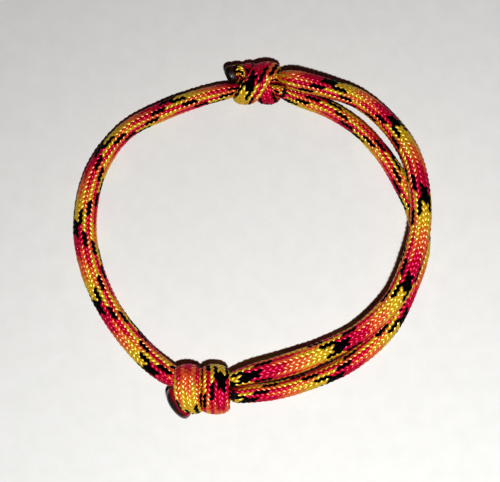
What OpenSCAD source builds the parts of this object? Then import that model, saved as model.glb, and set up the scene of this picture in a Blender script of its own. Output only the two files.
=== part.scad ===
// Rope bracelet of one braided cord, tied to itself with two sliding double overhand knots.
// It lies flat: X to the right, Y away from the viewer, Z up, the surface at Z = 0.

/* [Cord] */
// Diameter of the braided cord where nothing squeezes it
cord_d = 4; // [3.6:0.1:4.2]
// Gap between a knot and the cord that slides through it
clearance = 0.12; // [0.08:0.01:0.2]

/* [Upper knot] */
// Length along the cord that runs through it
upper_long = 8.4; // [7.8:0.1:9]
// Width, lying
upper_wide = 7.5; // [7:0.1:8.2]
// Thickness of the flattened cord in its turns
upper_band = 1.9; // [1.6:0.1:2.1]

/* [Lower knot] */
// Length along the cord that runs through it
lower_long = 9.9; // [9.2:0.1:10.6]
// Width, lying
lower_wide = 8.8; // [8.2:0.1:9.4]
// Thickness of the flattened cord in its turns
lower_band = 2.2; // [1.9:0.1:2.4]

/* [Sealed tips] */
// Width of the melted bead on the upper end
upper_bead = 3.2; // [2.8:0.1:3.5]
// Height of the melted bead, lying
upper_bead_tall = 2.8; // [2.4:0.1:3.1]
// Thickness of the melted bead
upper_bead_thick = 1.3; // [1:0.1:1.6]
// Width of the mushroomed bead on the lower end
lower_bead = 5.8; // [5.4:0.1:6]
// Height of the mushroomed bead, lying
lower_bead_tall = 3.9; // [3.6:0.1:4.1]
// Thickness of the mushroomed bead
lower_bead_thick = 1.8; // [1.5:0.1:2.1]

/* [Hidden] */

cord_r = cord_d / 2;
// Corners of each ring of a sweep, and rows of a smooth curve for each row of its table
sides = 12;
steps = 2;
// Half the thickness of the slices that a knot's turns are stretched between
slice_half = 0.03;
// Gap between a cut end and the bead melted on it
seat = 0.05;

// The middle of the loop's own box, from the point that the routes are drawn about
loop_mid = [-0.2, 0.05];

// Height of the bundle inside a knot, as a share of the knot's width
bundle_share = 0.38;
// Lift of a knot's turn where it rides over the others
ride = 0.6;
// Half the width and height of one strand in a knot's bundle, as shares of the knot's width
// and of the bundle's height
squeezed_wide = 0.115;
squeezed_tall = 0.48;
// How much wider and taller the same strand is where it comes out of the bundle
mouth_wide = 1.3;
mouth_tall = 1.1;
// Length of the solid middle of a knot's bundle, as a share of the knot's, and how far it
// reaches into the turns
hub_share = 0.7;
hub_bite = 0.3;
// Height of the lower knot's lowest turn over the surface
knot_rest = 0.01;

// A knot: its middle, which way up its riding turn faces, length, width, band, bundle height
upper = [[0.7, 27.1, upper_wide * bundle_share / 2 + upper_band],
         1, upper_long, upper_wide, upper_band, upper_wide * bundle_share];
lower = [[-8.8, -25.7, lower_wide * bundle_share / 2 + lower_band + ride + knot_rest],
         -1, lower_long, lower_wide, lower_band, lower_wide * bundle_share];
function middle_of(knot) = knot[0];
function front_of(knot) = knot[1];
function long_of(knot) = knot[2];
function wide_of(knot) = knot[3];
function band_of(knot) = knot[4];
function bundle_of(knot) = knot[5];

// Sides of a strand inside a knot: the core runs on one side, the cord's own end on the other
core = -1;
own = 1;
// Where a strand meets the next one, past the knot's middle in knot lengths
face_at = 0.53;

// A route's row where a strand runs through a knot, a share of its length and width away
function through(knot, along, across) = [
    middle_of(knot)[0] + along * long_of(knot),
    middle_of(knot)[1] + across * front_of(knot) * wide_of(knot),
    middle_of(knot)[2] / cord_r,
    wide_of(knot) * squeezed_wide / cord_r,
    bundle_of(knot) * squeezed_tall / cord_r,
];

// A row at the face where two strands meet, a little less squeezed
function face(knot, across) = let (row = through(knot, face_at, across))
    [row[0], row[1], row[2], row[3] * mouth_wide, row[4] * mouth_tall];

// Each row of a route: x, y, height of the middle in cord radii,
// width and thickness of the section in cord diameters
wrist_route = [
    face(lower, core * 0.19),
    through(lower, 0.25, core * 0.13),
    through(lower, -0.2, core * 0.13),
    [-14.3, -23.3, 2.0, 0.95, 0.98],
    [-19.3, -19.4, 1.2, 1.04, 0.96],
    [-24.6, -12.7, 0.96, 1.00, 0.96],
    [-28.0, -5.2, 0.96, 1.04, 0.96],
    [-29.2, 2.6, 0.96, 1.02, 0.96],
    [-27.5, 11.4, 0.98, 0.93, 0.98],
    [-22.5, 18.6, 0.98, 0.77, 0.98],
    [-15.6, 22.4, 0.98, 0.83, 0.98],
    [-9.4, 24.6, 1.2, 0.78, 0.98],
    [-4.8, 25.7, 1.5, 0.70, 0.90],
    through(upper, -0.3, core * 0.13),
    through(upper, 0.2, core * 0.13),
    face(upper, core * 0.2),
];
over_route = [
    face(upper, own * 0.13),
    [7.4, 27.4, 2.7, 0.88, 0.94],
    [13.2, 26.0, 2.4, 0.84, 0.98],
    [18.6, 24.2, 1.6, 0.86, 0.98],
    [23.6, 20.2, 1.1, 0.88, 0.98],
    [27.2, 14.6, 1.9, 0.94, 0.98],
    [28.5, 8.4, 2.9, 0.96, 0.98],
    [28.6, 2.4, 3.1, 0.95, 0.98],
    [27.3, -3.3, 3.1, 0.97, 0.98],
    [24.3, -10.1, 2.8, 0.94, 0.98],
    [18.8, -15.7, 2.2, 0.90, 0.98],
    [12.6, -19.1, 1.9, 0.96, 0.98],
    [6.3, -21.4, 2.1, 1.03, 0.96],
    [-0.1, -23.0, 2.5, 0.86, 0.94],
    face(lower, core * 0.19),
];
under_route = [
    face(upper, core * 0.2),
    [7.7, 24.8, 1.1, 0.76, 0.94],
    [13.4, 22.6, 0.95, 0.75, 0.95],
    [18.5, 19.3, 0.95, 0.72, 0.95],
    [22.8, 14.6, 0.95, 0.72, 0.95],
    [26.1, 9.4, 0.96, 0.80, 0.96],
    [28.5, 4.2, 0.98, 0.88, 0.98],
    [29.0, -1.6, 0.98, 0.92, 0.98],
    [27.0, -8.1, 0.98, 0.93, 0.98],
    [23.3, -15.5, 0.97, 0.88, 0.97],
    [17.3, -21.0, 0.96, 0.84, 0.96],
    [11.0, -24.1, 0.96, 0.79, 0.96],
    [4.8, -26.0, 1.1, 0.80, 0.96],
    [0.0, -26.6, 1.5, 0.80, 0.94],
    face(lower, own * 0.12),
];

// One row between rows b and c of a smooth curve through rows a, b, c and d
function between(a, b, c, d, t) =
    0.5 * (2 * b + (c - a) * t + (2 * a - 5 * b + 4 * c - d) * t * t
           + (3 * b - a - 3 * c + d) * t * t * t);

// Rows of a table with extra rows between them
function smooth_rows(rows) = let (last = len(rows) - 1) [
    for (i = [0:last - 1], s = [0:steps - 1])
        between(rows[max(i - 1, 0)], rows[i], rows[i + 1], rows[min(i + 2, last)], s / steps),
    rows[last],
];

function unit(v) = v / norm(v);

// Direction of a list of points at one of them
function heading(points, i) =
    unit(points[min(i + 1, len(points) - 1)] - points[max(i - 1, 0)]);

// The same, with the ends that meet another piece square to X, as the knots' faces are
function square_heading(points, i, squared) = let (way = heading(points, i))
    len([for (s = squared) if (s == i) s]) > 0 ? [sign(way[0]), 0, 0] : way;

// One ring of a sweep: wide along the side and thick along the facing
function ring(middle, along, facing, half_wide, half_thick) =
    let (side = unit(cross(facing, along)), out = unit(cross(along, side)))
    [for (k = [0:sides - 1]) let (turn = 360 * k / sides)
        middle + side * half_wide * cos(turn) + out * half_thick * sin(turn)];

// A closed tube through rings that all have the same number of points
module tube(rings) {
    last = len(rings) - 1;
    walls = [for (i = [0:last - 1], k = [0:sides - 1])
        let (a = i * sides + k, b = i * sides + (k + 1) % sides)
        each [[b + sides, b, a], [a + sides, b + sides, a]]];
    near_cap = [for (k = [0:sides - 1]) k];
    far_cap = [for (k = [sides - 1:-1:0]) last * sides + k];
    polyhedron([for (r = rings) each r], concat([near_cap, far_cap], walls));
}

// Cord along a route, its sections upright. It lies on the surface and never sinks into it,
// and grow makes room round it
module cord(route, grow = 0) {
    rows = smooth_rows(route);
    points = [for (r = rows) [r[0], r[1], max(r[2], r[4]) * cord_r]];
    tube([for (i = [0:len(rows) - 1])
        ring(points[i], square_heading(points, i, [0, len(rows) - 1]), [0, 0, 1],
             rows[i][3] * cord_r + grow, rows[i][4] * cord_r + grow)]);
}

// A row of a knot's table: along it, across it towards the cord's own end, towards its front,
// the angle that the flat of the cord faces, and half the width and thickness of the section.
// This one is a turn's row, at an angle round the bundle
function turn_row(knot, along, angle, lift = 0, narrow = 1) =
    let (reach_y = (wide_of(knot) - band_of(knot)) / 2 + lift,
         reach_z = (bundle_of(knot) + band_of(knot)) / 2 + lift)
    [along * long_of(knot), reach_y * cos(angle), reach_z * sin(angle), angle,
     long_of(knot) / 4 * narrow, band_of(knot) / 2];

// A row of the same table inside the bundle
function inner_row(knot, along, across, front, angle) =
    [along * long_of(knot), across * wide_of(knot), front * bundle_of(knot), angle,
     bundle_of(knot) * squeezed_tall, wide_of(knot) * squeezed_wide];

// Double overhand knot: in at the doubled end, out over the bundle, round behind, over the
// front, round behind again, under its own riding turn and out at the single end
function knot_rows(knot, tail) = [
    inner_row(knot, face_at - 0.01, 0.12, 0, 0),
    inner_row(knot, 0.30, 0.125, 0, 0),
    inner_row(knot, 0.05, 0.15, 0.15, 20),
    turn_row(knot, -0.06, 55, -0.35, 0.7),
    turn_row(knot, -0.13, 0, -0.1, 0.7),
    turn_row(knot, -0.20, -45, 0, 0.86),
    turn_row(knot, -0.245, -90, 0, 0.97),
    turn_row(knot, -0.25, -135, 0, 0.98),
    turn_row(knot, -0.25, -180, 0, 0.96),
    turn_row(knot, -0.20, -222, ride * 0.5),
    turn_row(knot, -0.06, -256, ride),
    turn_row(knot, 0.08, -290, ride),
    turn_row(knot, 0.20, -324, ride * 0.5),
    turn_row(knot, 0.25, -360, 0, 0.96),
    turn_row(knot, 0.25, -405, 0, 0.98),
    turn_row(knot, 0.25, -450, 0, 0.98),
    turn_row(knot, 0.25, -495, 0, 0.98),
    turn_row(knot, 0.22, -545, 0, 0.9),
    turn_row(knot, 0.14, -590, -0.3, 0.8),
    inner_row(knot, 0.0, 0.0, 0.25, -640),
    inner_row(knot, -0.20, 0.115, 0.05, -710),
    tail[0],
    tail[1],
];

// The last two rows of each knot's own cord, where it comes out to its sealed tip
upper_tail = [[-3.0, 2.1, 0.2, -720, 1.3, 1.2], [-4.1, 1.7, 0.2, -720, 1.3, 1.3]];
lower_tail = [[-2.8, 1.6, 0.4, -720, 1.7, 1.7], [-3.6, 2.15, 0.8, -720, 1.7, 2.2]];

// A thin slice of cord with a ring as its outline
module slice(outline, along) {
    tube([[for (p = outline) p - along * slice_half],
          [for (p = outline) p + along * slice_half]]);
}

// The knot about its own middle, front up: the cord's turns and the bundle they squeeze
module knot_turns(knot, tail) {
    rows = smooth_rows(knot_rows(knot, tail));
    points = [for (r = rows) [r[0], r[1], r[2]]];
    ways = [for (i = [0:len(rows) - 1]) square_heading(points, i, [0])];
    rings = [for (i = [0:len(rows) - 1]) let (facing = rows[i][3])
        ring(points[i], ways[i], [0, cos(facing), sin(facing)], rows[i][4], rows[i][5])];
    for (i = [0:len(rings) - 2])
        hull() {
            slice(rings[i], ways[i]);
            slice(rings[i + 1], ways[i + 1]);
        }
    scale([1, wide_of(knot) / 2 - band_of(knot) + hub_bite, bundle_of(knot) / 2 + hub_bite])
        rotate([0, 90, 0])
            cylinder(h = long_of(knot) * hub_share, r = 1, center = true, $fn = 24);
}

// Puts what is modelled about a knot's middle in its place, with its front the right way up
module place(knot) {
    translate(middle_of(knot))
        rotate([front_of(knot) > 0 ? 0 : 180, 0, 0])
            children();
}

// Melted end of a cord: rings from its flat face, a step along and a share of its width each
bead_profile = [[0, 0.86], [0.25, 1], [0.55, 0.98], [0.85, 0.76], [1, 0.4]];

module bead(knot, tail, wide, tall, thick) {
    points = [for (r = smooth_rows(knot_rows(knot, tail))) [r[0], r[1], r[2]]];
    last = len(points) - 1;
    along = heading(points, last);
    tube([for (p = bead_profile)
        ring(points[last] + along * (seat + thick * p[0]), along, [0, 0, 1],
             wide / 2 * p[1], tall / 2 * p[1])]);
}

module wrist_strand() {
    color("crimson") cord(wrist_route);
}

module over_strand() {
    color("orange") cord(over_route);
}

module under_strand() {
    color("firebrick") cord(under_route);
}

module upper_knot() {
    color("deeppink") difference() {
        place(upper) knot_turns(upper, upper_tail);
        cord(wrist_route, clearance);
    }
}

module lower_knot() {
    color("gold") difference() {
        place(lower) knot_turns(lower, lower_tail);
        cord(wrist_route, clearance);
    }
}

module upper_sealed_tip() {
    color("black") place(upper)
        bead(upper, upper_tail, upper_bead, upper_bead_tall, upper_bead_thick);
}

module lower_sealed_tip() {
    color("saddlebrown") place(lower)
        bead(lower, lower_tail, lower_bead, lower_bead_tall, lower_bead_thick);
}

module in_frame() {
    translate([-loop_mid[0], -loop_mid[1], 0]) children();
}

in_frame() wrist_strand();
in_frame() over_strand();
in_frame() under_strand();
in_frame() upper_knot();
in_frame() lower_knot();
in_frame() upper_sealed_tip();
in_frame() lower_sealed_tip();
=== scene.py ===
"""Bracelet of one braided nylon cord, tied to itself with two sliding double overhand knots.

The cord's braid, the knots' flattened turns and the melted ends are built here as real shapes
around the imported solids. The bracelet lies flat on pale paper, under one small lamp that hangs
nearly overhead and a weak reddish fill from all round.
"""

import bpy
import numpy as np
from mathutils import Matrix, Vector


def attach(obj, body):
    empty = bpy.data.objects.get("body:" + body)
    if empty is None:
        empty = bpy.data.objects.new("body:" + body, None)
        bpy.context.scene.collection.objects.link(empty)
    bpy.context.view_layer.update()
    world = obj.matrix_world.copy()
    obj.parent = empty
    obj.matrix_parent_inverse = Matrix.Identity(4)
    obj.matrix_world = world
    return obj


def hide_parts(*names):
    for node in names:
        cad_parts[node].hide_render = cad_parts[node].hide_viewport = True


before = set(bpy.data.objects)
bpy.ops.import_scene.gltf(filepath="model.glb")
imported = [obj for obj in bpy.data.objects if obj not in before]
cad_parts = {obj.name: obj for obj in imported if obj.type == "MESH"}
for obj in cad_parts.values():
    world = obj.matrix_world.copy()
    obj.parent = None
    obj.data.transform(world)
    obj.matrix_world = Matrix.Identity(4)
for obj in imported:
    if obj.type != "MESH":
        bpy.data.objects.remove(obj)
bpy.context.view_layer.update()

MM = 0.001

# The camera, nearly straight above, where the photograph was taken from

PHOTO_WIDTH = 500  # px
PX_PER_MM = 5.75  # at the level of a cord that lies on the surface
VIEW_MIDDLE = (-0.32, -0.22)  # mm, what the middle of the picture looks at
CORD_LEVEL = 2.0  # mm, height of the middle of a cord that lies on the surface
CAMERA_HEIGHT = 260.0  # mm above that level
SENSOR = 36.0  # mm
NEAR_LIMIT = 0.01  # m
FAR_LIMIT = 10  # m


def set_camera():
    """A long lens looking straight down, with +Y up the picture."""
    lens = bpy.data.cameras.new("overhead_lens")
    lens.sensor_width = SENSOR
    lens.lens = SENSOR * CAMERA_HEIGHT / (PHOTO_WIDTH / PX_PER_MM)
    lens.clip_start = NEAR_LIMIT
    lens.clip_end = FAR_LIMIT
    camera = bpy.data.objects.new("overhead_camera", lens)
    x, y = VIEW_MIDDLE
    camera.location = (x * MM, y * MM, (CORD_LEVEL + CAMERA_HEIGHT) * MM)
    bpy.context.scene.collection.objects.link(camera)
    bpy.context.scene.camera = camera


set_camera()

# The cord's route, the same rows as the solids have, in millimetres

CORD_R = 2.0  # half the cord's thickness where nothing squeezes it
LOOP_MID = np.array([-0.2, 0.05, 0.0])  # middle of the loop's box, where the routes are drawn
BUNDLE_SHARE = 0.38  # height of the bundle inside a knot, as a share of the knot's width
RIDE = 0.6  # how far a knot's turn lifts where it rides over the others
SQUEEZED_WIDE = 0.115  # half a strand's width in a bundle, as a share of the knot's width
SQUEEZED_TALL = 0.48  # half its height there, as a share of the bundle's height
MOUTH_WIDE = 1.3  # how much wider the same strand is where it comes out of the bundle
MOUTH_TALL = 1.1  # and how much taller
FACE_AT = 0.53  # where it comes out, from a knot's middle, as a share of the knot's length
CORE = -1  # the side of a knot's mouth that the strand which slides through it takes
OWN = 1  # the side that the cord which ties the knot takes
KNOT_REST = 0.01  # height of the lower knot's lowest turn over the surface


def knot(x, y, front, long, wide, band, lift):
    """A knot's sizes by name: where it is, which way its riding turn faces and how big it is."""
    bundle = wide * BUNDLE_SHARE
    return {"middle": np.array([x, y, bundle / 2 + band + lift]), "front": front,
            "long": long, "wide": wide, "band": band, "bundle": bundle}


UPPER = knot(0.7, 27.1, 1, 8.4, 7.5, 1.9, 0)
LOWER = knot(-8.8, -25.7, -1, 9.9, 8.8, 2.2, RIDE + KNOT_REST)


def through(of, along, across):
    """A route's row inside a knot: where it is, its height, width and thickness."""
    x, y, z = of["middle"]
    return [x + along * of["long"], y + across * of["front"] * of["wide"], z / CORD_R,
            of["wide"] * SQUEEZED_WIDE / CORD_R, of["bundle"] * SQUEEZED_TALL / CORD_R]


def mouth(of, across):
    """The same where a strand comes out of a knot, a little less squeezed."""
    x, y, z, wide, thick = through(of, FACE_AT, across)
    return [x, y, z, wide * MOUTH_WIDE, thick * MOUTH_TALL]


# A row of a route is x and y in mm, then three shares of CORD_R: the height of the cord's
# middle, half its width and half its thickness
WRIST_ROUTE = [
    mouth(LOWER, CORE * 0.19),
    through(LOWER, 0.25, CORE * 0.13),
    through(LOWER, -0.2, CORE * 0.13),
    [-14.3, -23.3, 2.0, 0.95, 0.98],
    [-19.3, -19.4, 1.2, 1.04, 0.96],
    [-24.6, -12.7, 0.96, 1.00, 0.96],
    [-28.0, -5.2, 0.96, 1.04, 0.96],
    [-29.2, 2.6, 0.96, 1.02, 0.96],
    [-27.5, 11.4, 0.98, 0.93, 0.98],
    [-22.5, 18.6, 0.98, 0.77, 0.98],
    [-15.6, 22.4, 0.98, 0.83, 0.98],
    [-9.4, 24.6, 1.2, 0.78, 0.98],
    [-4.8, 25.7, 1.5, 0.70, 0.90],
    through(UPPER, -0.3, CORE * 0.13),
    through(UPPER, 0.2, CORE * 0.13),
    mouth(UPPER, CORE * 0.2),
]
OVER_ROUTE = [
    mouth(UPPER, OWN * 0.13),
    [7.4, 27.4, 2.7, 0.88, 0.94],
    [13.2, 26.0, 2.4, 0.84, 0.98],
    [18.6, 24.2, 1.6, 0.86, 0.98],
    [23.6, 20.2, 1.1, 0.88, 0.98],
    [27.2, 14.6, 1.9, 0.94, 0.98],
    [28.5, 8.4, 2.9, 0.96, 0.98],
    [28.6, 2.4, 3.1, 0.95, 0.98],
    [27.3, -3.3, 3.1, 0.97, 0.98],
    [24.3, -10.1, 2.8, 0.94, 0.98],
    [18.8, -15.7, 2.2, 0.90, 0.98],
    [12.6, -19.1, 1.9, 0.96, 0.98],
    [6.3, -21.4, 2.1, 1.03, 0.96],
    [-0.1, -23.0, 2.5, 0.86, 0.94],
    mouth(LOWER, CORE * 0.19),
]
UNDER_ROUTE = [
    mouth(UPPER, CORE * 0.2),
    [7.7, 24.8, 1.1, 0.76, 0.94],
    [13.4, 22.6, 0.95, 0.75, 0.95],
    [18.5, 19.3, 0.95, 0.72, 0.95],
    [22.8, 14.6, 0.95, 0.72, 0.95],
    [26.1, 9.4, 0.96, 0.80, 0.96],
    [28.5, 4.2, 0.98, 0.88, 0.98],
    [29.0, -1.6, 0.98, 0.92, 0.98],
    [27.0, -8.1, 0.98, 0.93, 0.98],
    [23.3, -15.5, 0.97, 0.88, 0.97],
    [17.3, -21.0, 0.96, 0.84, 0.96],
    [11.0, -24.1, 0.96, 0.79, 0.96],
    [4.8, -26.0, 1.1, 0.80, 0.96],
    [0.0, -26.6, 1.5, 0.80, 0.94],
    mouth(LOWER, OWN * 0.12),
]


def turn_row(of, along, angle, lift=0.0, narrow=1.0):
    """A knot's row on one of its turns, at an angle round the bundle inside: x, y and z from
    the knot's middle, that angle, half the cord's width and half its thickness."""
    reach_y = (of["wide"] - of["band"]) / 2 + lift
    reach_z = (of["bundle"] + of["band"]) / 2 + lift
    turn = np.radians(angle)
    return [along * of["long"], reach_y * np.cos(turn), reach_z * np.sin(turn), angle,
            of["long"] / 4 * narrow, of["band"] / 2]


def inner_row(of, along, across, front, angle):
    """The same inside the bundle."""
    return [along * of["long"], across * of["wide"], front * of["bundle"], angle,
            of["bundle"] * SQUEEZED_TALL, of["wide"] * SQUEEZED_WIDE]


def knot_rows(of, tail):
    """In at the doubled end, over the bundle, round behind, over the front, round behind
    again, under its own riding turn and out at the single end."""
    return [
        inner_row(of, FACE_AT - 0.01, 0.12, 0, 0),
        inner_row(of, 0.30, 0.125, 0, 0),
        inner_row(of, 0.05, 0.15, 0.15, 20),
        turn_row(of, -0.06, 55, -0.35, 0.7),
        turn_row(of, -0.13, 0, -0.1, 0.7),
        turn_row(of, -0.20, -45, 0, 0.86),
        turn_row(of, -0.245, -90, 0, 0.97),
        turn_row(of, -0.25, -135, 0, 0.98),
        turn_row(of, -0.25, -180, 0, 0.96),
        turn_row(of, -0.20, -222, RIDE * 0.5),
        turn_row(of, -0.06, -256, RIDE),
        turn_row(of, 0.08, -290, RIDE),
        turn_row(of, 0.20, -324, RIDE * 0.5),
        turn_row(of, 0.25, -360, 0, 0.96),
        turn_row(of, 0.25, -405, 0, 0.98),
        turn_row(of, 0.25, -450, 0, 0.98),
        turn_row(of, 0.25, -495, 0, 0.98),
        turn_row(of, 0.22, -545, 0, 0.9),
        turn_row(of, 0.14, -590, -0.3, 0.8),
        inner_row(of, 0.0, 0.0, 0.25, -640),
        inner_row(of, -0.20, 0.115, 0.05, -710),
        *tail,
    ]


# The last two rows of each knot's own cord, where it comes out to its melted end
UPPER_TAIL = [[-3.0, 2.1, 0.2, -720, 1.3, 1.2], [-4.1, 1.7, 0.2, -720, 1.3, 1.3]]
LOWER_TAIL = [[-2.8, 1.6, 0.4, -720, 1.7, 1.7], [-3.6, 2.15, 0.8, -720, 1.7, 2.2]]


def smooth_rows(rows, steps):
    """Rows of a table with the rows of a smooth curve between them."""
    rows = np.array(rows, float)
    last = len(rows) - 1
    made = []
    for i in range(last):
        a, b, c, d = rows[max(i - 1, 0)], rows[i], rows[i + 1], rows[min(i + 2, last)]
        for t in np.arange(steps) / steps:
            made.append(0.5 * (2 * b + (c - a) * t + (2 * a - 5 * b + 4 * c - d) * t * t
                               + (3 * b - a - 3 * c + d) * t ** 3))
    return np.array(made + [rows[last]])


def unit(v):
    """Vectors brought to length one."""
    return v / np.linalg.norm(v, axis=-1, keepdims=True)


def spine(points, facing, wide, thick):
    """A cord's centreline in the bracelet's frame with what a section needs at each point."""
    points = points - LOOP_MID
    step = np.linalg.norm(np.diff(points, axis=0), axis=1)
    along = unit(np.gradient(points, axis=0))
    side = unit(np.cross(facing, along))
    return {"at": np.concatenate([[0], np.cumsum(step)]), "points": points, "side": side,
            "out": np.cross(along, side), "wide": wide, "thick": thick}


ROUTE_STEPS = 24  # points of a spine for each row of its route


def strand_spine(route):
    """The spine of a strand, its sections upright and never sunk into the surface."""
    rows = smooth_rows(route, ROUTE_STEPS)
    points = rows[:, :3].copy()
    points[:, 2] = np.maximum(rows[:, 2], rows[:, 4]) * CORD_R
    return spine(points, np.array([0.0, 0.0, 1.0]), rows[:, 3] * CORD_R, rows[:, 4] * CORD_R)


def knot_spine(of, tail, backwards):
    """The spine of a knot's own cord, from the cord's first end to its last."""
    rows = smooth_rows(knot_rows(of, tail), ROUTE_STEPS)
    if backwards:
        rows = rows[::-1]
    turned = np.array([1, of["front"], of["front"]])
    angle = np.radians(rows[:, 3])
    facing = np.stack([0 * angle, np.cos(angle), np.sin(angle)], 1) * turned
    return spine(rows[:, :3] * turned + of["middle"], facing, rows[:, 4], rows[:, 5])


# Finishes

NYLON_IOR = 1.53
YARN_IOR = 2.0  # matched: fine filaments side by side shine more than one plain surface does
FILAMENT = 0.07  # mm; a real one is 0.03 mm, too fine to show, so they are drawn as bundles
FILAMENT_RELIEF = 0.04  # mm
LINE_LONG = 1.25  # mm, how far a line between filaments runs on
YARN_ROUGHNESS = (0.33, 0.43)  # least and most, from one filament line to another
DYE_CLOUD = 1.6  # mm, how far a yarn keeps one depth of dye
CORE_YARN = 0.4  # mm, the breadth of one yarn of the core
SCORCH_FROM = 0.2  # of the bead's thickness, where the dye starts to burn
SCORCH_FULL = 0.56  # and where it is burnt through
SCORCH_PATCH = 1.1  # mm, the breadth of a tongue of the scorched rim
SCORCH_SWAY = 0.5  # of the thickness, how far such a tongue reaches
MELT_RIPPLE = 0.9  # mm, from one ripple of the melted skin to the next
RIPPLE_RELIEF = 0.12  # mm


def linear(code):
    """An sRGB hex colour as Blender's linear red, green, blue and alpha."""
    parts = [int(code[i:i + 2], 16) / 255 for i in (0, 2, 4)]
    return [p / 12.92 if p <= 0.04045 else ((p + 0.055) / 1.055) ** 2.4 for p in parts] + [1]


def add(tree, kind, settings=(), links=()):
    """Adds a node with its settings, by property or input, and the sockets that feed it."""
    node = tree.nodes.new(kind)
    for key, value in dict(settings).items():
        if isinstance(key, int) or key in node.inputs:
            node.inputs[key].default_value = value
        else:
            setattr(node, key, value)
    for key, socket in dict(links).items():
        tree.links.new(socket, node.inputs[key])
    return node


def blank(name):
    """A new material with nothing on it yet, and its node tree."""
    material = bpy.data.materials.new(name)
    material.use_nodes = True
    material.node_tree.nodes.clear()
    return material, material.node_tree


def per_mm(size):
    """A pattern's scale in a frame of metres, from the size in mm of one of its marks."""
    return 1 / (size * MM)


def dyed_nylon_yarn(name, shade, deep, shine):
    """Multifilament nylon, drawn, crimped and dyed: a satin gloss tinted by its own dye that
    runs along the yarn, fine filament lines, and dye that is a little deeper in places."""
    material, tree = blank(name)
    place = add(tree, "ShaderNodeTexCoord")
    cloud = add(tree, "ShaderNodeTexNoise", {"Scale": per_mm(DYE_CLOUD), "Detail": 2.0},
                {"Vector": place.outputs["Object"]})
    colour = add(tree, "ShaderNodeMix", {"data_type": "RGBA", 6: linear(shade), 7: linear(deep)},
                 {0: cloud.outputs["Fac"]})
    stretched = add(tree, "ShaderNodeMapping", {"Scale": (1 / LINE_LONG, 1 / FILAMENT, 1.0)},
                    {"Vector": place.outputs["UV"]})
    lines = add(tree, "ShaderNodeTexNoise", {"Scale": 1.0, "Detail": 2.0},
                {"Vector": stretched.outputs["Vector"]})
    relief = add(tree, "ShaderNodeBump", {"Strength": 0.15, "Distance": FILAMENT_RELIEF * MM},
                 {"Height": lines.outputs["Fac"]})
    smoothest, roughest = YARN_ROUGHNESS
    gloss = add(tree, "ShaderNodeMapRange", {"To Min": smoothest, "To Max": roughest},
                {"Value": lines.outputs["Fac"]})
    surface = add(tree, "ShaderNodeBsdfPrincipled",
                  {"IOR": YARN_IOR, "Specular IOR Level": 1.0, "Specular Tint": linear(shine)},
                  {"Base Color": colour.outputs[2], "Roughness": gloss.outputs["Result"],
                   "Normal": relief.outputs["Normal"]})
    add(tree, "ShaderNodeOutputMaterial", {}, {"Surface": surface.outputs[0]})
    return material


# Each dye's own shade, its shade where it is deeper, and the tint of its gloss
YARN_FINISHES = {
    "black": dyed_nylon_yarn("black_nylon_yarn", "050506", "020203", "1A1A1E"),
    "yellow": dyed_nylon_yarn("yellow_nylon_yarn", "D6B41C", "B0840E", "FFFFAC"),
    "gold": dyed_nylon_yarn("golden_nylon_yarn", "DA8E2E", "B8661C", "FFF4B8"),
    "orange": dyed_nylon_yarn("orange_nylon_yarn", "E0662E", "BA461E", "FFE8BC"),
    "flame": dyed_nylon_yarn("flame_nylon_yarn", "D43C24", "AC2A18", "FFD0B0"),
    "crimson": dyed_nylon_yarn("crimson_nylon_yarn", "C60436", "900228", "FF60A0"),
}


def painted_shade_core(name):
    """The core under the braid, matt and nearly black: painted shade, which shows in the gaps
    between the floats."""
    material, tree = blank(name)
    place = add(tree, "ShaderNodeTexCoord")
    grain = add(tree, "ShaderNodeTexNoise", {"Scale": per_mm(CORE_YARN)},
                {"Vector": place.outputs["Object"]})
    # painted shade: two near-blacks, mixed by a faint grain
    colour = add(tree, "ShaderNodeMix",
                 {"data_type": "RGBA", 6: linear("1E080A"), 7: linear("0C0404")},
                 {0: grain.outputs["Fac"]})
    surface = add(tree, "ShaderNodeBsdfPrincipled", {"Roughness": 0.85, "IOR": NYLON_IOR},
                  {"Base Color": colour.outputs[2]})
    add(tree, "ShaderNodeOutputMaterial", {}, {"Surface": surface.outputs[0]})
    return material


# the core's finish is painted shade for the gaps between the floats
CORE_SHADE_FINISH = painted_shade_core("shaded_nylon_core")


def melted_nylon(name, skin, rim, coat, roughness):
    """Nylon fused by a flame and cooled: a skin that keeps the yarns' dye next to the cord
    and is scorched at its far rim, with shallow ripples where it ran. A bead that flowed well
    has a glassy coat, and a charred one hardly any."""
    material, tree = blank(name)
    place = add(tree, "ShaderNodeTexCoord")
    split = add(tree, "ShaderNodeSeparateXYZ", {}, {"Vector": place.outputs["UV"]})
    scorch = add(tree, "ShaderNodeTexNoise", {"Scale": per_mm(SCORCH_PATCH), "Detail": 3.0},
                 {"Vector": place.outputs["Object"]})
    edge = add(tree, "ShaderNodeMath", {"operation": "MULTIPLY_ADD", 1: SCORCH_SWAY},
               {0: scorch.outputs["Fac"], 2: split.outputs["Y"]})
    burnt = add(tree, "ShaderNodeMapRange",
                {"From Min": SCORCH_FROM, "From Max": SCORCH_FULL},
                {"Value": edge.outputs["Value"]})
    colour = add(tree, "ShaderNodeMix", {"data_type": "RGBA", 6: linear(skin), 7: linear(rim)},
                 {0: burnt.outputs["Result"]})
    ripple = add(tree, "ShaderNodeTexNoise", {"Scale": per_mm(MELT_RIPPLE), "Detail": 2.0},
                 {"Vector": place.outputs["Object"]})
    relief = add(tree, "ShaderNodeBump", {"Strength": 0.5, "Distance": RIPPLE_RELIEF * MM},
                 {"Height": ripple.outputs["Fac"]})
    surface = add(tree, "ShaderNodeBsdfPrincipled",
                  {"IOR": NYLON_IOR, "Roughness": roughness, "Coat Weight": coat,
                   "Coat Roughness": 0.08},
                  {"Base Color": colour.outputs[2], "Normal": relief.outputs["Normal"]})
    add(tree, "ShaderNodeOutputMaterial", {}, {"Surface": surface.outputs[0]})
    return material


# The braid, two over and two under, its sizes in mm where no other measure is named

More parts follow.
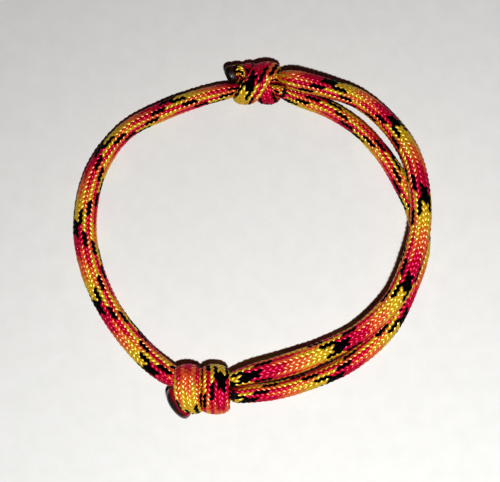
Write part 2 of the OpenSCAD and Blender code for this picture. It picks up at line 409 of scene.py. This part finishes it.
CARRIERS = 16  # yarns that run each way round
CELLS = 2 * CARRIERS  # crossings that a yarn makes on its way once round the cord
FLOAT_REACH = 1.5  # half a float's length, in crossings, as far as it shows
FLOAT_STEPS = 6  # faces along a float
FLOAT_SIDES = 4  # faces across it
YARN_HALF = 0.17  # half the thickness of a flattened yarn
WAVE = 0.15  # how far a yarn rises over the two it crosses
FULL = 1.1  # width of a float's middle in yarn spacings
FLATNESS = 0.7  # under 1, a yarn's top is flatter than a round one's
END_TAPER = 0.55  # how fast a float narrows at its ends
UNEVEN_WIDTH = 0.05  # how far a float's width strays, as a share of it
UNEVEN_HEIGHT = 0.03  # how far a float's height strays
FLOAT_MARGIN = 0.15  # no float's middle is nearer than this to the cord's end
CORE_DEPTH = 0.38  # under the crests, where the core shows
CORE_SIDES = 28
CORE_RING = 0.5  # from one ring of the core to the next
PATTERN_MARGIN = 6  # how far the pattern is worked out past the cord's ends
PATTERN_PLACES = 800
GROWN_PLACES = 200
BLACK_MIDDLE = 1 / CARRIERS  # of a repeat, where the middle one of the three black yarns is
CROSSING_LONG = 0.6  # a yarn's length from crossing to crossing, for its filament lines
YARN_BROAD = 0.3  # half a yarn's breadth, for the same
LINES_START = 50  # each float's filament lines start anywhere up to here

# The yarns of one direction, in the order that they come along the cord
YARNS = (["black"] * 3 + ["yellow"] * 4 + ["gold"] + ["orange"] * 3 + ["flame"]
         + ["crimson"] * 4)
YARN_FINISH = np.array([list(YARN_FINISHES).index(yarn) for yarn in YARNS])


def section_point(line, at, turn, depth):
    """Points on a cord's oval section: at a length along it, an angle round it from its outer
    face in radians, and a depth in mm under the crests."""
    def read(key):
        values = line[key]
        if values.ndim == 1:
            return np.interp(at, line["at"], values)
        return np.stack([np.interp(at, line["at"], values[:, i]) for i in range(3)], -1)
    wide, thick = read("wide"), read("thick")
    even = turn - (wide - thick) / (2 * (wide + thick)) * np.sin(2 * turn)
    sine, cosine = np.sin(even), np.cos(even)
    slope = np.hypot(thick * sine, wide * cosine)
    reach_side = wide * sine - depth * thick * sine / slope
    reach_out = thick * cosine - depth * wide * cosine / slope
    return (read("points") + unit(read("side")) * reach_side[..., None]
            + unit(read("out")) * reach_out[..., None])


def pattern_along(length, repeats):
    """Close places along a cord and the colour repeats so far at each. Past the ends of its
    table the pattern goes on as evenly as it does there."""
    lengths, so_far = np.array(repeats, float).T
    slope = np.diff(so_far) / np.diff(lengths)
    dense = np.linspace(-PATTERN_MARGIN, length + PATTERN_MARGIN, PATTERN_PLACES)
    phase = np.interp(dense, lengths, so_far)
    phase = np.where(dense < lengths[0], so_far[0] + (dense - lengths[0]) * slope[0], phase)
    phase = np.where(dense > lengths[-1], so_far[-1] + (dense - lengths[-1]) * slope[-1], phase)
    return dense, phase


def float_middles(length, dense, phase):
    """The middle of each float: crossings round the cord, colour repeats and mm along it, and
    the way round and the yarn that it belongs to. One way's floats come every four crossings
    round, and the other way's lie midway between them and half a row on."""
    first, last = np.interp([0, length], dense, phase) * CARRIERS
    row = np.arange(np.floor(first), np.ceil(last) + 1)
    column = np.arange(CARRIERS // 2)
    row, column, way = [v.ravel() for v in np.meshgrid(row, column, [1, -1], indexing="ij")]
    across = np.where(way > 0, 4 * column + 2.5, 4 * column + 0.5)
    on = np.where(way > 0, row + 0.25, row + 0.75) / CARRIERS
    yarn = np.where(way > 0, row - 2 * column - 1, row + 2 * column + 1).astype(int) % CARRIERS
    at = np.interp(on, phase, dense)
    shown = (at > FLOAT_MARGIN) & (at < length - FLOAT_MARGIN)
    return [v[shown] for v in (across, on, at, way, yarn)]


def steepness(line, at, dense, phase):
    """How far the yarns lean from round the cord to along it, 0 to 1, at places along it."""
    pitch = 1 / np.interp(at, dense, np.gradient(phase, dense))
    wide = np.interp(at, line["at"], line["wide"])
    thick = np.interp(at, line["at"], line["thick"])
    girth = 2 * np.pi * np.sqrt((wide ** 2 + thick ** 2) / 2)
    return pitch ** 2 / (pitch ** 2 + girth ** 2)


def float_points(line, dense, phase, turns, middles, rng):
    """The points of every float and its place in the filament lines. Each float is a small
    pillow of yarn that rises over the two it passes, and no two are quite alike."""
    across, on, at, way = [v[:, None, None] for v in middles[:4]]
    count = len(at)
    run, lie = np.meshgrid(np.linspace(-FLOAT_REACH, FLOAT_REACH, FLOAT_STEPS + 1),
                           np.linspace(-np.pi / 2, np.pi / 2, FLOAT_SIDES + 1), indexing="ij")
    taper = np.sqrt(1 - END_TAPER * (run / FLOAT_REACH) ** 4)
    breadth = np.sin(lie) / 2 * FULL * taper
    rise = WAVE * np.cos(np.pi * run / 2) + YARN_HALF * np.cos(lie) ** FLATNESS * taper
    plump = 1 + rng.uniform(-UNEVEN_WIDTH, UNEVEN_WIDTH, count)[:, None, None]
    proud = rng.uniform(-UNEVEN_HEIGHT, UNEVEN_HEIGHT, count)[:, None, None]
    breadth = breadth * plump
    steep = steepness(line, at, dense, phase)
    cell = across + way * run + 2 * breadth * steep
    drift = run - way * 2 * breadth * (1 - steep)
    where = np.interp(on + drift / CELLS, phase, dense)
    turn = 2 * np.pi * cell / CELLS + np.radians(np.interp(where, *np.array(turns, float).T))
    depth = WAVE + YARN_HALF - rise + proud
    points = section_point(line, np.clip(where, 0, line["at"][-1]), turn, depth)
    lines = np.stack([run * CROSSING_LONG, np.sin(lie) * YARN_BROAD], -1)
    return points.reshape(count, -1, 3), lines.reshape(-1, 2)


def float_faces():
    """The faces of one float, by the numbers of its own points."""
    corner = np.arange(FLOAT_STEPS)[:, None] * (FLOAT_SIDES + 1) + np.arange(FLOAT_SIDES)
    corner = corner.ravel()
    return np.stack([corner, corner + FLOAT_SIDES + 1, corner + FLOAT_SIDES + 2, corner + 1], 1)


def core_tube(line):
    """The core under the floats, a closed tube: its points and its faces."""
    rings = int(line["at"][-1] / CORE_RING) + 1
    at, turn = np.meshgrid(np.linspace(0, line["at"][-1], rings),
                           np.arange(CORE_SIDES) * 2 * np.pi / CORE_SIDES, indexing="ij")
    points = section_point(line, at, turn, np.full(at.shape, CORE_DEPTH))
    ring, place = np.meshgrid(np.arange(rings - 1), np.arange(CORE_SIDES), indexing="ij")
    here = ring * CORE_SIDES + place
    beside = ring * CORE_SIDES + (place + 1) % CORE_SIDES
    walls = np.stack([here, here + CORE_SIDES, beside + CORE_SIDES, beside], -1).reshape(-1, 4)
    ends = [np.arange(CORE_SIDES), (rings - 1) * CORE_SIDES + np.arange(CORE_SIDES)[::-1]]
    return points.reshape(-1, 3), [*walls, *ends]


def finished_piece(name, node, points, faces, corner_map, finishes, face_finish):
    """One smooth mesh with its map and finishes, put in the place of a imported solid."""
    mesh = bpy.data.meshes.new(name)
    mesh.from_pydata((points * MM).tolist(), [], faces)
    layer = mesh.uv_layers.new(name="SurfaceMap")
    layer.data.foreach_set("uv", corner_map.astype(np.float32).ravel())
    for finish in finishes:
        mesh.materials.append(finish)
    mesh.polygons.foreach_set("material_index", face_finish.astype(np.int32))
    mesh.polygons.foreach_set("use_smooth", np.ones(len(faces), bool))
    mesh.update()
    piece = bpy.data.objects.new(name, mesh)
    bpy.context.scene.collection.objects.link(piece)
    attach(piece, "root")
    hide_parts(node)
    return piece


def grown_repeats(length, cross_at, longs):
    """Lengths along a cord and the colour repeats so far at each, from the place of one black
    cross and how long a repeat is at the cord's start, middle and end."""
    at = np.linspace(0, length, GROWN_PLACES)
    long = np.interp(at, np.linspace(0, length, len(longs)), longs)
    so_far = np.concatenate([[0], np.cumsum(2 * np.diff(at) / (long[1:] + long[:-1]))])
    return np.stack([at, so_far - np.interp(cross_at, at, so_far) + BLACK_MIDDLE], 1)


def braid(name, node, line, repeats, turns, seed):
    """The braid over a spine as one piece. repeats gives the length along the cord and the
    colour repeats so far at some places, and turns the length and the degrees that the
    pattern has turned."""
    rng = np.random.default_rng(seed)
    dense, phase = pattern_along(line["at"][-1], repeats)
    middles = float_middles(line["at"][-1], dense, phase)
    floats, lines = float_points(line, dense, phase, turns, middles, rng)
    count, per = floats.shape[:2]
    quad = float_faces()
    core, core_faces = core_tube(line)
    faces = (np.arange(count)[:, None, None] * per + quad).reshape(-1, 4).tolist()
    faces += [(face + count * per).tolist() for face in core_faces]

    starts = rng.uniform(0, LINES_START, (count, 1, 2))
    float_map = (lines[quad.ravel()][None] + starts).reshape(-1, 2)
    corner_map = np.zeros((sum(len(face) for face in faces), 2))
    corner_map[:len(float_map)] = float_map
    yarn = middles[4]
    float_finish = np.repeat(YARN_FINISH[yarn], len(quad))
    face_finish = np.full(len(faces), len(YARN_FINISHES))
    face_finish[:len(float_finish)] = float_finish
    points = np.concatenate([floats.reshape(-1, 3), core])
    return finished_piece(name, node, points, faces, corner_map,
                          [*YARN_FINISHES.values(), CORE_SHADE_FINISH], face_finish)


# The strands

# Each strand's pattern, matched to the photograph. In mm, the place of one black cross and a
# colour repeat's length at the strand's start, middle and end. Then two lengths along it in mm,
# each with the degrees that the pattern has turned there
WRIST_CROSS = 14.5
WRIST_LONGS = (14.6, 13.5, 14.6)
WRIST_TURNS = [(14, 48), (55, 68)]
OVER_CROSS = 9.0
OVER_LONGS = (12.5, 14.9, 17.4)
OVER_TURNS = [(8, 48), (67, 8)]
UNDER_CROSS = 22.1
UNDER_LONGS = (13.8, 14.9, 16.0)
UNDER_TURNS = [(18, 84), (66, 52)]


def lay_strand(name, node, route, cross_at, longs, turns, seed):
    """A strand of the bracelet from knot to knot."""
    line = strand_spine(route)
    length = line["at"][-1]
    piece = braid(name, node, line, grown_repeats(length, cross_at, longs), turns, seed)


lay_strand("braided_wrist_strand", "wrist_strand", WRIST_ROUTE, WRIST_CROSS, WRIST_LONGS,
           WRIST_TURNS, 1)
lay_strand("braided_over_strand", "over_strand", OVER_ROUTE, OVER_CROSS, OVER_LONGS,
           OVER_TURNS, 2)
lay_strand("braided_under_strand", "under_strand", UNDER_ROUTE, UNDER_CROSS, UNDER_LONGS,
           UNDER_TURNS, 3)

# The knots, the same braid pressed oval. At some lengths along each in mm, the colour repeats so
# far, and the degrees that the pattern has turned

UPPER_REPEATS = [(0, 0.04), (6, 0.7), (10, 1.0), (19, 1.77), (23.5, 2.05), (28, 2.36),
                 (43.9, 3.36)]
UPPER_TURNS = [(2, -60), (7, 15), (10, 15), (19, -34), (24, -34), (28, -42), (43.9, -42)]
LOWER_REPEATS = [(0, 0.2), (10, 1.13), (19, 1.81), (31, 2.58), (37.8, 3.09), (41, 3.33),
                 (50, 4.0)]
LOWER_TURNS = [(0, -38), (10, 0), (19, 0), (31, -28)]

upper_line = knot_spine(UPPER, UPPER_TAIL, True)
lower_line = knot_spine(LOWER, LOWER_TAIL, False)
braid("braided_upper_knot", "upper_knot", upper_line, UPPER_REPEATS, UPPER_TURNS, 4)
braid("braided_lower_knot", "lower_knot", lower_line, LOWER_REPEATS, LOWER_TURNS, 5)

# The melted ends, with their sizes in mm

UPPER_BEAD = (3.2, 2.8, 1.3)  # width, height as it lies, and thickness past the cord's end
LOWER_BEAD = (5.8, 3.9, 1.8)
BEAD_SEAT = 0.05  # gap between a cord's end and where its bead's thickness starts
# A step along in thicknesses and a share of the width each: the collar round the cord, then
# the bead
BEAD_PROFILE = [
    [-0.6, 0.6],
    [-0.3, 0.86],
    [0, 0.97],
    [0.3, 1],
    [0.6, 0.96],
    [0.85, 0.78],
    [1, 0.42],
]
BEAD_STEPS = 4  # rings for each row of the profile
BEAD_SIDES = 40
OVAL_LUMP = 0.035  # how far a bead swells on two sides, as a share of its width
CORNER_LUMP = 0.025  # and how far on three
LUMP_ANGLE = 0.7  # radians, how far round from the bead's side the oval is set


def melt_end(name, node, line, first_end, size, finish):
    """The bead that the flame left on a cord's end: a thick round-edged blob with a skin
    that is never quite even."""
    wide, tall, thick = size
    end, before = line["points"][[0, 2] if first_end else [-1, -3]]
    along = unit(end - before)
    side = unit(np.cross([0, 0, 1], along))
    out = np.cross(along, side)
    turn = np.arange(BEAD_SIDES) * 2 * np.pi / BEAD_SIDES
    rings = []
    melt_map = []
    for step, share in smooth_rows(BEAD_PROFILE, BEAD_STEPS):
        melt_map.append(np.stack([turn, np.full(BEAD_SIDES, step)], 1))
        lump = 1 + OVAL_LUMP * np.sin(2 * turn + LUMP_ANGLE)
        lump = lump + CORNER_LUMP * np.sin(3 * turn + 2 * step)
        rings.append(end + along * (BEAD_SEAT + thick * step)
                     + np.outer(np.cos(turn) * wide / 2 * share * lump, side)
                     + np.outer(np.sin(turn) * tall / 2 * share * lump, out))
    last = (len(rings) - 1) * BEAD_SIDES
    faces = []
    for ring in range(0, last, BEAD_SIDES):
        for place in range(BEAD_SIDES):
            here = ring + place
            beside = ring + (place + 1) % BEAD_SIDES
            faces.append([here, beside, beside + BEAD_SIDES, here + BEAD_SIDES])
    faces += [list(range(BEAD_SIDES))[::-1], list(range(last, last + BEAD_SIDES))]
    corners = [corner for face in faces for corner in face]
    finished_piece(name, node, np.concatenate(rings), faces,
                   np.concatenate(melt_map)[corners], [finish], np.zeros(len(faces)))


# The colours of skin and rim, then the skin's coat and roughness
# the lower bead's rim colour is dark scorched nylon, lightened to a grey that is painted sheen
CRIMSON_MELT = melted_nylon("crimson_melted_nylon", "98182A", "3A2A2C", 0.7, 0.2)
SCORCHED = melted_nylon("scorched_melted_nylon", "4A1212", "0C0808", 0.05, 0.5)
melt_end("melted_upper_tip", "upper_sealed_tip", upper_line, True, UPPER_BEAD, SCORCHED)
melt_end("melted_lower_tip", "lower_sealed_tip", lower_line, False, LOWER_BEAD, CRIMSON_MELT)

# Paper and light, with sizes and places in mm

PAPER_HALF = 600.0
PAPER_MOTTLE = 3.0  # from one pale patch to the next
PAPER_TOOTH = 0.7  # from tuft to tuft of its fibres, coarser than a real sheet's, to show
TOOTH_RELIEF = 0.1
LAMP_PLACE = (16, -55, 300)
LAMP_AIM = (65, -251, 0)  # past the lower edge, where the photograph's paper is brightest
LAMP_SIZE = 17
LAMP_POWER = 1.62  # W
LAMP_TINT = "FFFEFB"
FILL_TINT = "FFACBA"  # the photograph's shadows on the paper are maroon
FILL_STRENGTH = 0.038
EXPOSURE = -0.5  # stops


def uncoated_paper(name):
    """Uncoated paper with a soft felt mark: matt, off-white, faintly mottled."""
    material, tree = blank(name)
    place = add(tree, "ShaderNodeTexCoord")
    mottle = add(tree, "ShaderNodeTexNoise", {"Scale": per_mm(PAPER_MOTTLE), "Detail": 3.0},
                 {"Vector": place.outputs["Object"]})
    colour = add(tree, "ShaderNodeMix",
                 {"data_type": "RGBA", 6: linear("D6D8D9"), 7: linear("CED0D0")},
                 {0: mottle.outputs["Fac"]})
    tooth = add(tree, "ShaderNodeTexNoise", {"Scale": per_mm(PAPER_TOOTH), "Detail": 2.0},
                {"Vector": place.outputs["Object"]})
    relief = add(tree, "ShaderNodeBump", {"Strength": 0.25, "Distance": TOOTH_RELIEF * MM},
                 {"Height": tooth.outputs["Fac"]})
    surface = add(tree, "ShaderNodeBsdfPrincipled", {"Roughness": 0.9, "IOR": 1.5},
                  {"Base Color": colour.outputs[2], "Normal": relief.outputs["Normal"]})
    add(tree, "ShaderNodeOutputMaterial", {}, {"Surface": surface.outputs[0]})
    return material


def spread_paper():
    """The pale sheet that the bracelet lies on."""
    mesh = bpy.data.meshes.new("paper_sheet")
    half = PAPER_HALF * MM
    mesh.from_pydata([(-half, -half, 0), (half, -half, 0), (half, half, 0), (-half, half, 0)],
                     [], [(0, 1, 2, 3)])
    mesh.materials.append(uncoated_paper("uncoated_paper"))
    sheet = bpy.data.objects.new("paper_sheet", mesh)
    bpy.context.scene.collection.objects.link(sheet)


def hang_lamp():
    """One small square lamp, nearly overhead, for the photograph's short soft shadows."""
    lamp = bpy.data.lights.new("key_lamp", "AREA")
    lamp.size = LAMP_SIZE * MM
    lamp.energy = LAMP_POWER
    lamp.color = linear(LAMP_TINT)[:3]
    holder = bpy.data.objects.new("key_lamp", lamp)
    place = Vector(LAMP_PLACE)
    holder.location = place * MM
    holder.rotation_euler = (Vector(LAMP_AIM) - place).to_track_quat("-Z", "Y").to_euler()
    bpy.context.scene.collection.objects.link(holder)


def fill_shadows():
    """A weak even light from all round."""
    world = bpy.data.worlds.new("soft_studio")
    world.use_nodes = True
    background = world.node_tree.nodes["Background"]
    background.inputs["Color"].default_value = linear(FILL_TINT)
    background.inputs["Strength"].default_value = FILL_STRENGTH
    bpy.context.scene.world = world


def set_contrast():
    """The photograph is a contrasty one, with deep shadows and full colour."""
    view = bpy.context.scene.view_settings
    view.view_transform = "Standard"
    view.look = "High Contrast"
    view.exposure = EXPOSURE


spread_paper()
hang_lamp()
fill_shadows()
set_contrast()
